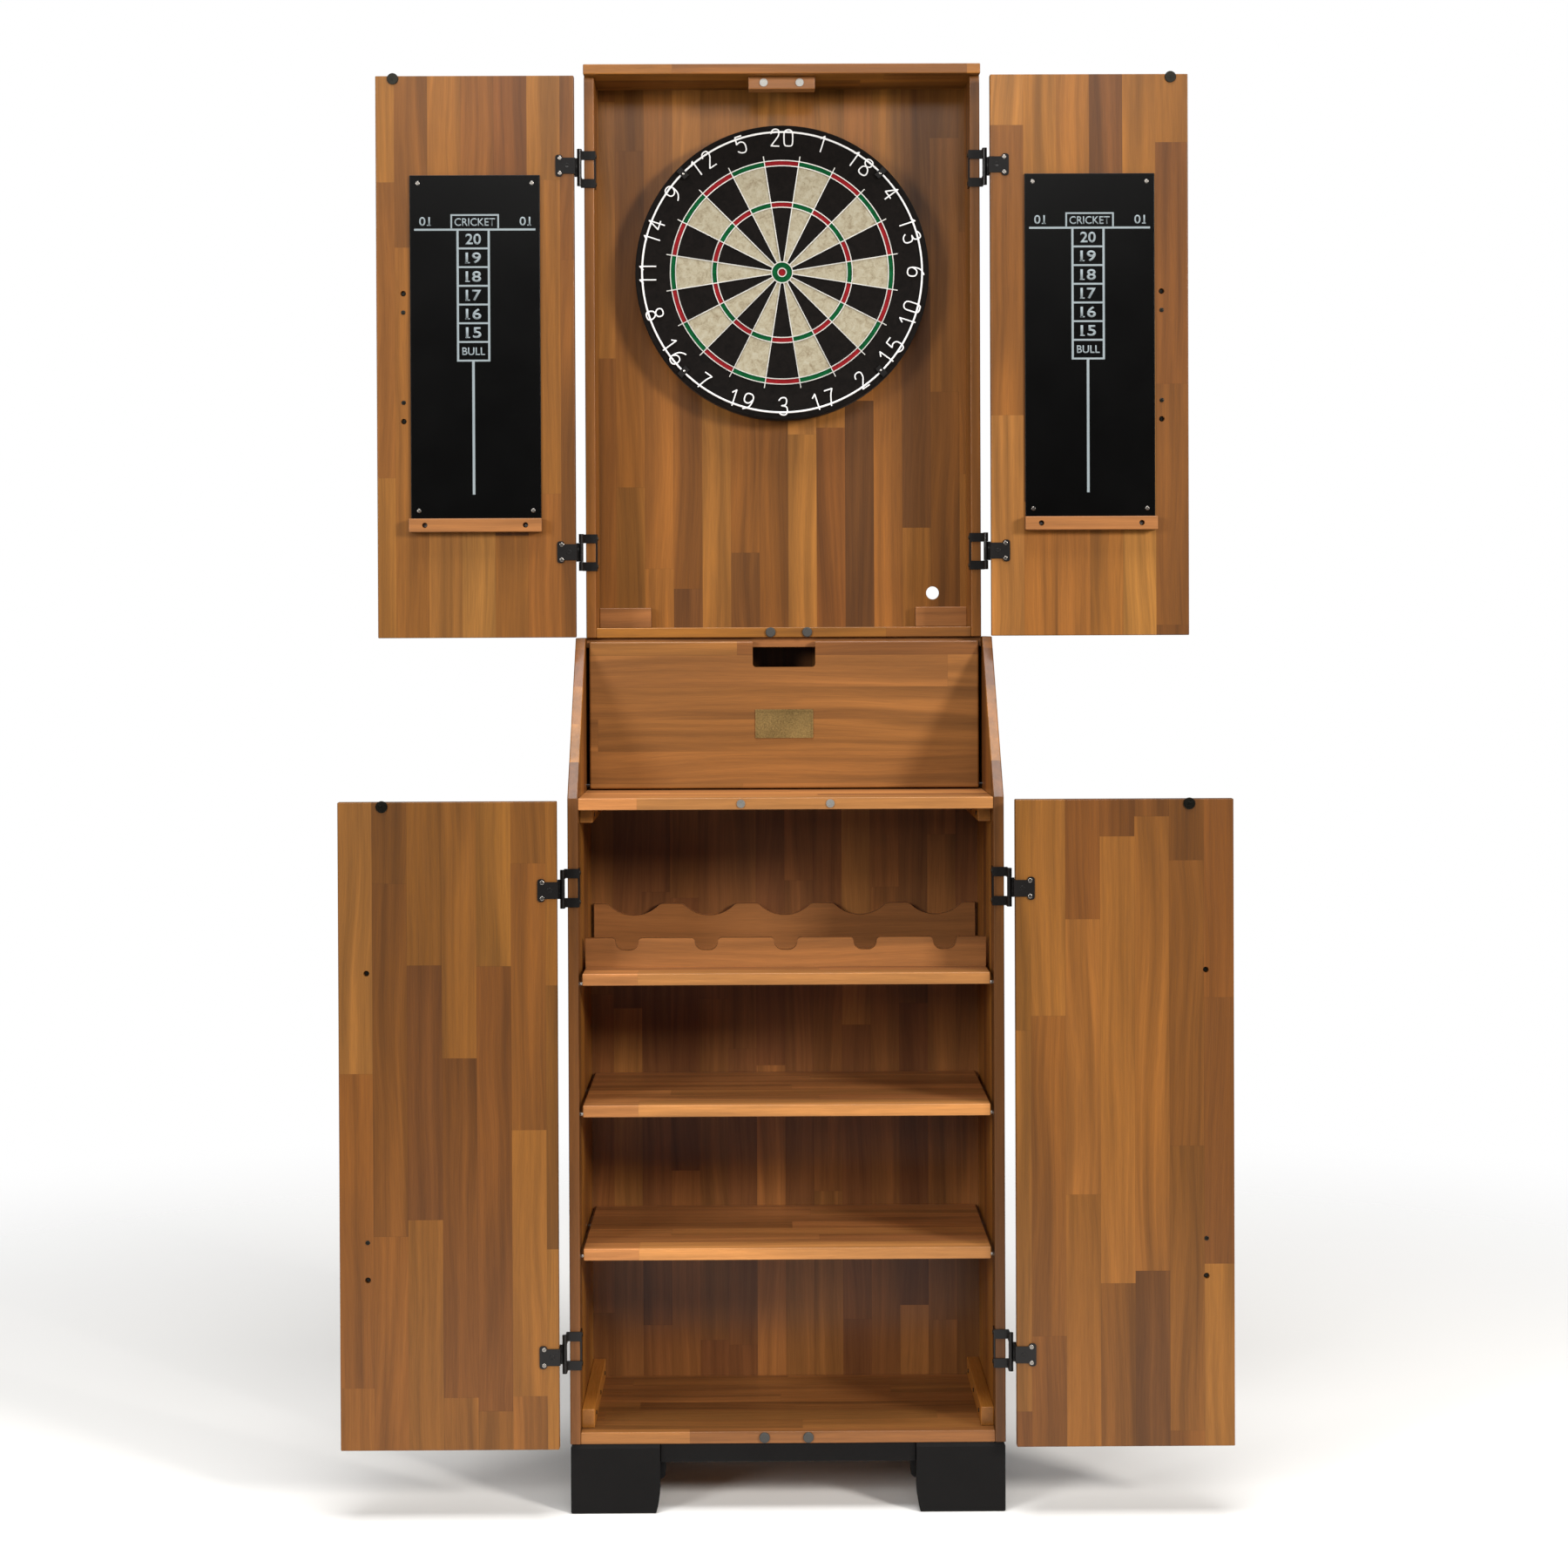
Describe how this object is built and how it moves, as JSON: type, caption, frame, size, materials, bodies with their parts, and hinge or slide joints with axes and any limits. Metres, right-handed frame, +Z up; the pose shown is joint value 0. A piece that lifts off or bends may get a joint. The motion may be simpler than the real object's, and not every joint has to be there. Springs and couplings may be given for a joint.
{
  "type": "dart board cabinet",
  "caption": "Tall wooden cabinet: a dartboard behind two scoreboard doors, a drop-front bin, a counter, and a wine-rack cupboard with shelves behind two doors.",
  "frame": {"origin": "on the floor, at the middle of the bounding box with all four doors open flat", "axes": "+Z up, +Y towards the wall behind the cabinet, +X to the right of someone facing the open doors"},
  "size_m": [1.272, 0.3682, 2.112],
  "materials": {
    "honey_acacia": "satin lacquered finger-jointed panel",
    "acacia_trim": "satin lacquered solid wood",
    "black_painted_wood": "satin black paint",
    "black_iron": "satin black enamel",
    "nickel_steel": "nickel plated",
    "black_rubber": "matte",
    "scoreboard_black": "matte laminate",
    "sisal": "pressed sisal fibre",
    "chipboard": "black painted board",
    "steel_wire": "galvanised wire",
    "brass": "antiqued"
  },
  "bodies": {
    "carcass": {"base_feet": "black_painted_wood", "base_rails": "black_painted_wood", "bin_top_board": "honey_acacia", "bottom_board": "honey_acacia", "carcass_screws": "black_iron", "catch_block": "acacia_trim", "cleats": "acacia_trim", "corner_blocks": "acacia_trim", "counter_top": "honey_acacia", "dartboard_bracket": "black_iron", "door_bumpers": "black_rubber", "door_magnets": "nickel_steel", "hinge_brackets": "black_iron", "lower_back": "honey_acacia", "lower_left_side": "honey_acacia", "lower_right_side": "honey_acacia", "pivot_pins": "black_iron", "shelf_pins": "nickel_steel", "shelves": "honey_acacia", "upper_back": "honey_acacia", "upper_bottom": "honey_acacia", "upper_left_side": "honey_acacia", "upper_right_side": "honey_acacia", "upper_top": "honey_acacia", "wine_rack_front": "acacia_trim", "wine_rack_rear": "acacia_trim", "wine_rack_shelf": "honey_acacia"},
    "dartboard": {"dartboard_backing": "chipboard", "dartboard_centre_bolt": "black_iron", "dartboard_face": "sisal", "dartboard_number_ring": "steel_wire", "dartboard_spider": "steel_wire", "dartboard_wall_pads": "black_rubber", "number_ring_clips": "black_iron"},
    "flap": {"flap_nameplate": "brass", "flap_panel": "honey_acacia"},
    "upper_left_door": {"upper_left_door_hinge_leaves": "black_iron", "upper_left_door_ledge": "acacia_trim", "upper_left_door_panel": "honey_acacia", "upper_left_door_pull": "black_iron", "upper_left_door_scoreboard": "scoreboard_black", "upper_left_door_screws": "nickel_steel", "upper_left_door_strike": "black_iron"},
    "upper_right_door": {"upper_right_door_hinge_leaves": "black_iron", "upper_right_door_ledge": "acacia_trim", "upper_right_door_panel": "honey_acacia", "upper_right_door_pull": "black_iron", "upper_right_door_scoreboard": "scoreboard_black", "upper_right_door_screws": "nickel_steel", "upper_right_door_strike": "black_iron"},
    "lower_left_door": {"lower_left_door_hinge_leaves": "black_iron", "lower_left_door_panel": "honey_acacia", "lower_left_door_pull": "black_iron", "lower_left_door_screws": "nickel_steel", "lower_left_door_strike": "black_iron"},
    "lower_right_door": {"lower_right_door_hinge_leaves": "black_iron", "lower_right_door_panel": "honey_acacia", "lower_right_door_pull": "black_iron", "lower_right_door_screws": "nickel_steel", "lower_right_door_strike": "black_iron"}
  },
  "joints": [
    {"name": "upper_left_door_hinge", "type": "hinge", "parent": "carcass", "child": "upper_left_door", "pos_m": [-0.3025, 0.0451, 1.671], "axis": [0, 0, 1], "range_deg": [0, 180]},
    {"name": "upper_right_door_hinge", "type": "hinge", "parent": "carcass", "child": "upper_right_door", "pos_m": [0.3025, 0.0451, 1.671], "axis": [0, 0, -1], "range_deg": [0, 180]},
    {"name": "lower_left_door_hinge", "type": "hinge", "parent": "carcass", "child": "lower_left_door", "pos_m": [-0.3185, -0.1639, 0.567], "axis": [0, 0, 1], "range_deg": [0, 180]},
    {"name": "lower_right_door_hinge", "type": "hinge", "parent": "carcass", "child": "lower_right_door", "pos_m": [0.3185, -0.1639, 0.567], "axis": [0, 0, -1], "range_deg": [0, 180]},
    {"name": "flap_hinge", "type": "hinge", "parent": "carcass", "child": "flap", "pos_m": [0, 0.0701, 1.0342], "axis": [1, 0, 0], "range_deg": [0, 90]},
    {"name": "dartboard_turn", "type": "hinge", "parent": "carcass", "child": "dartboard", "pos_m": [0, 0.1681, 1.811], "axis": [0, -1, 0], "continuous": true}
  ]
}
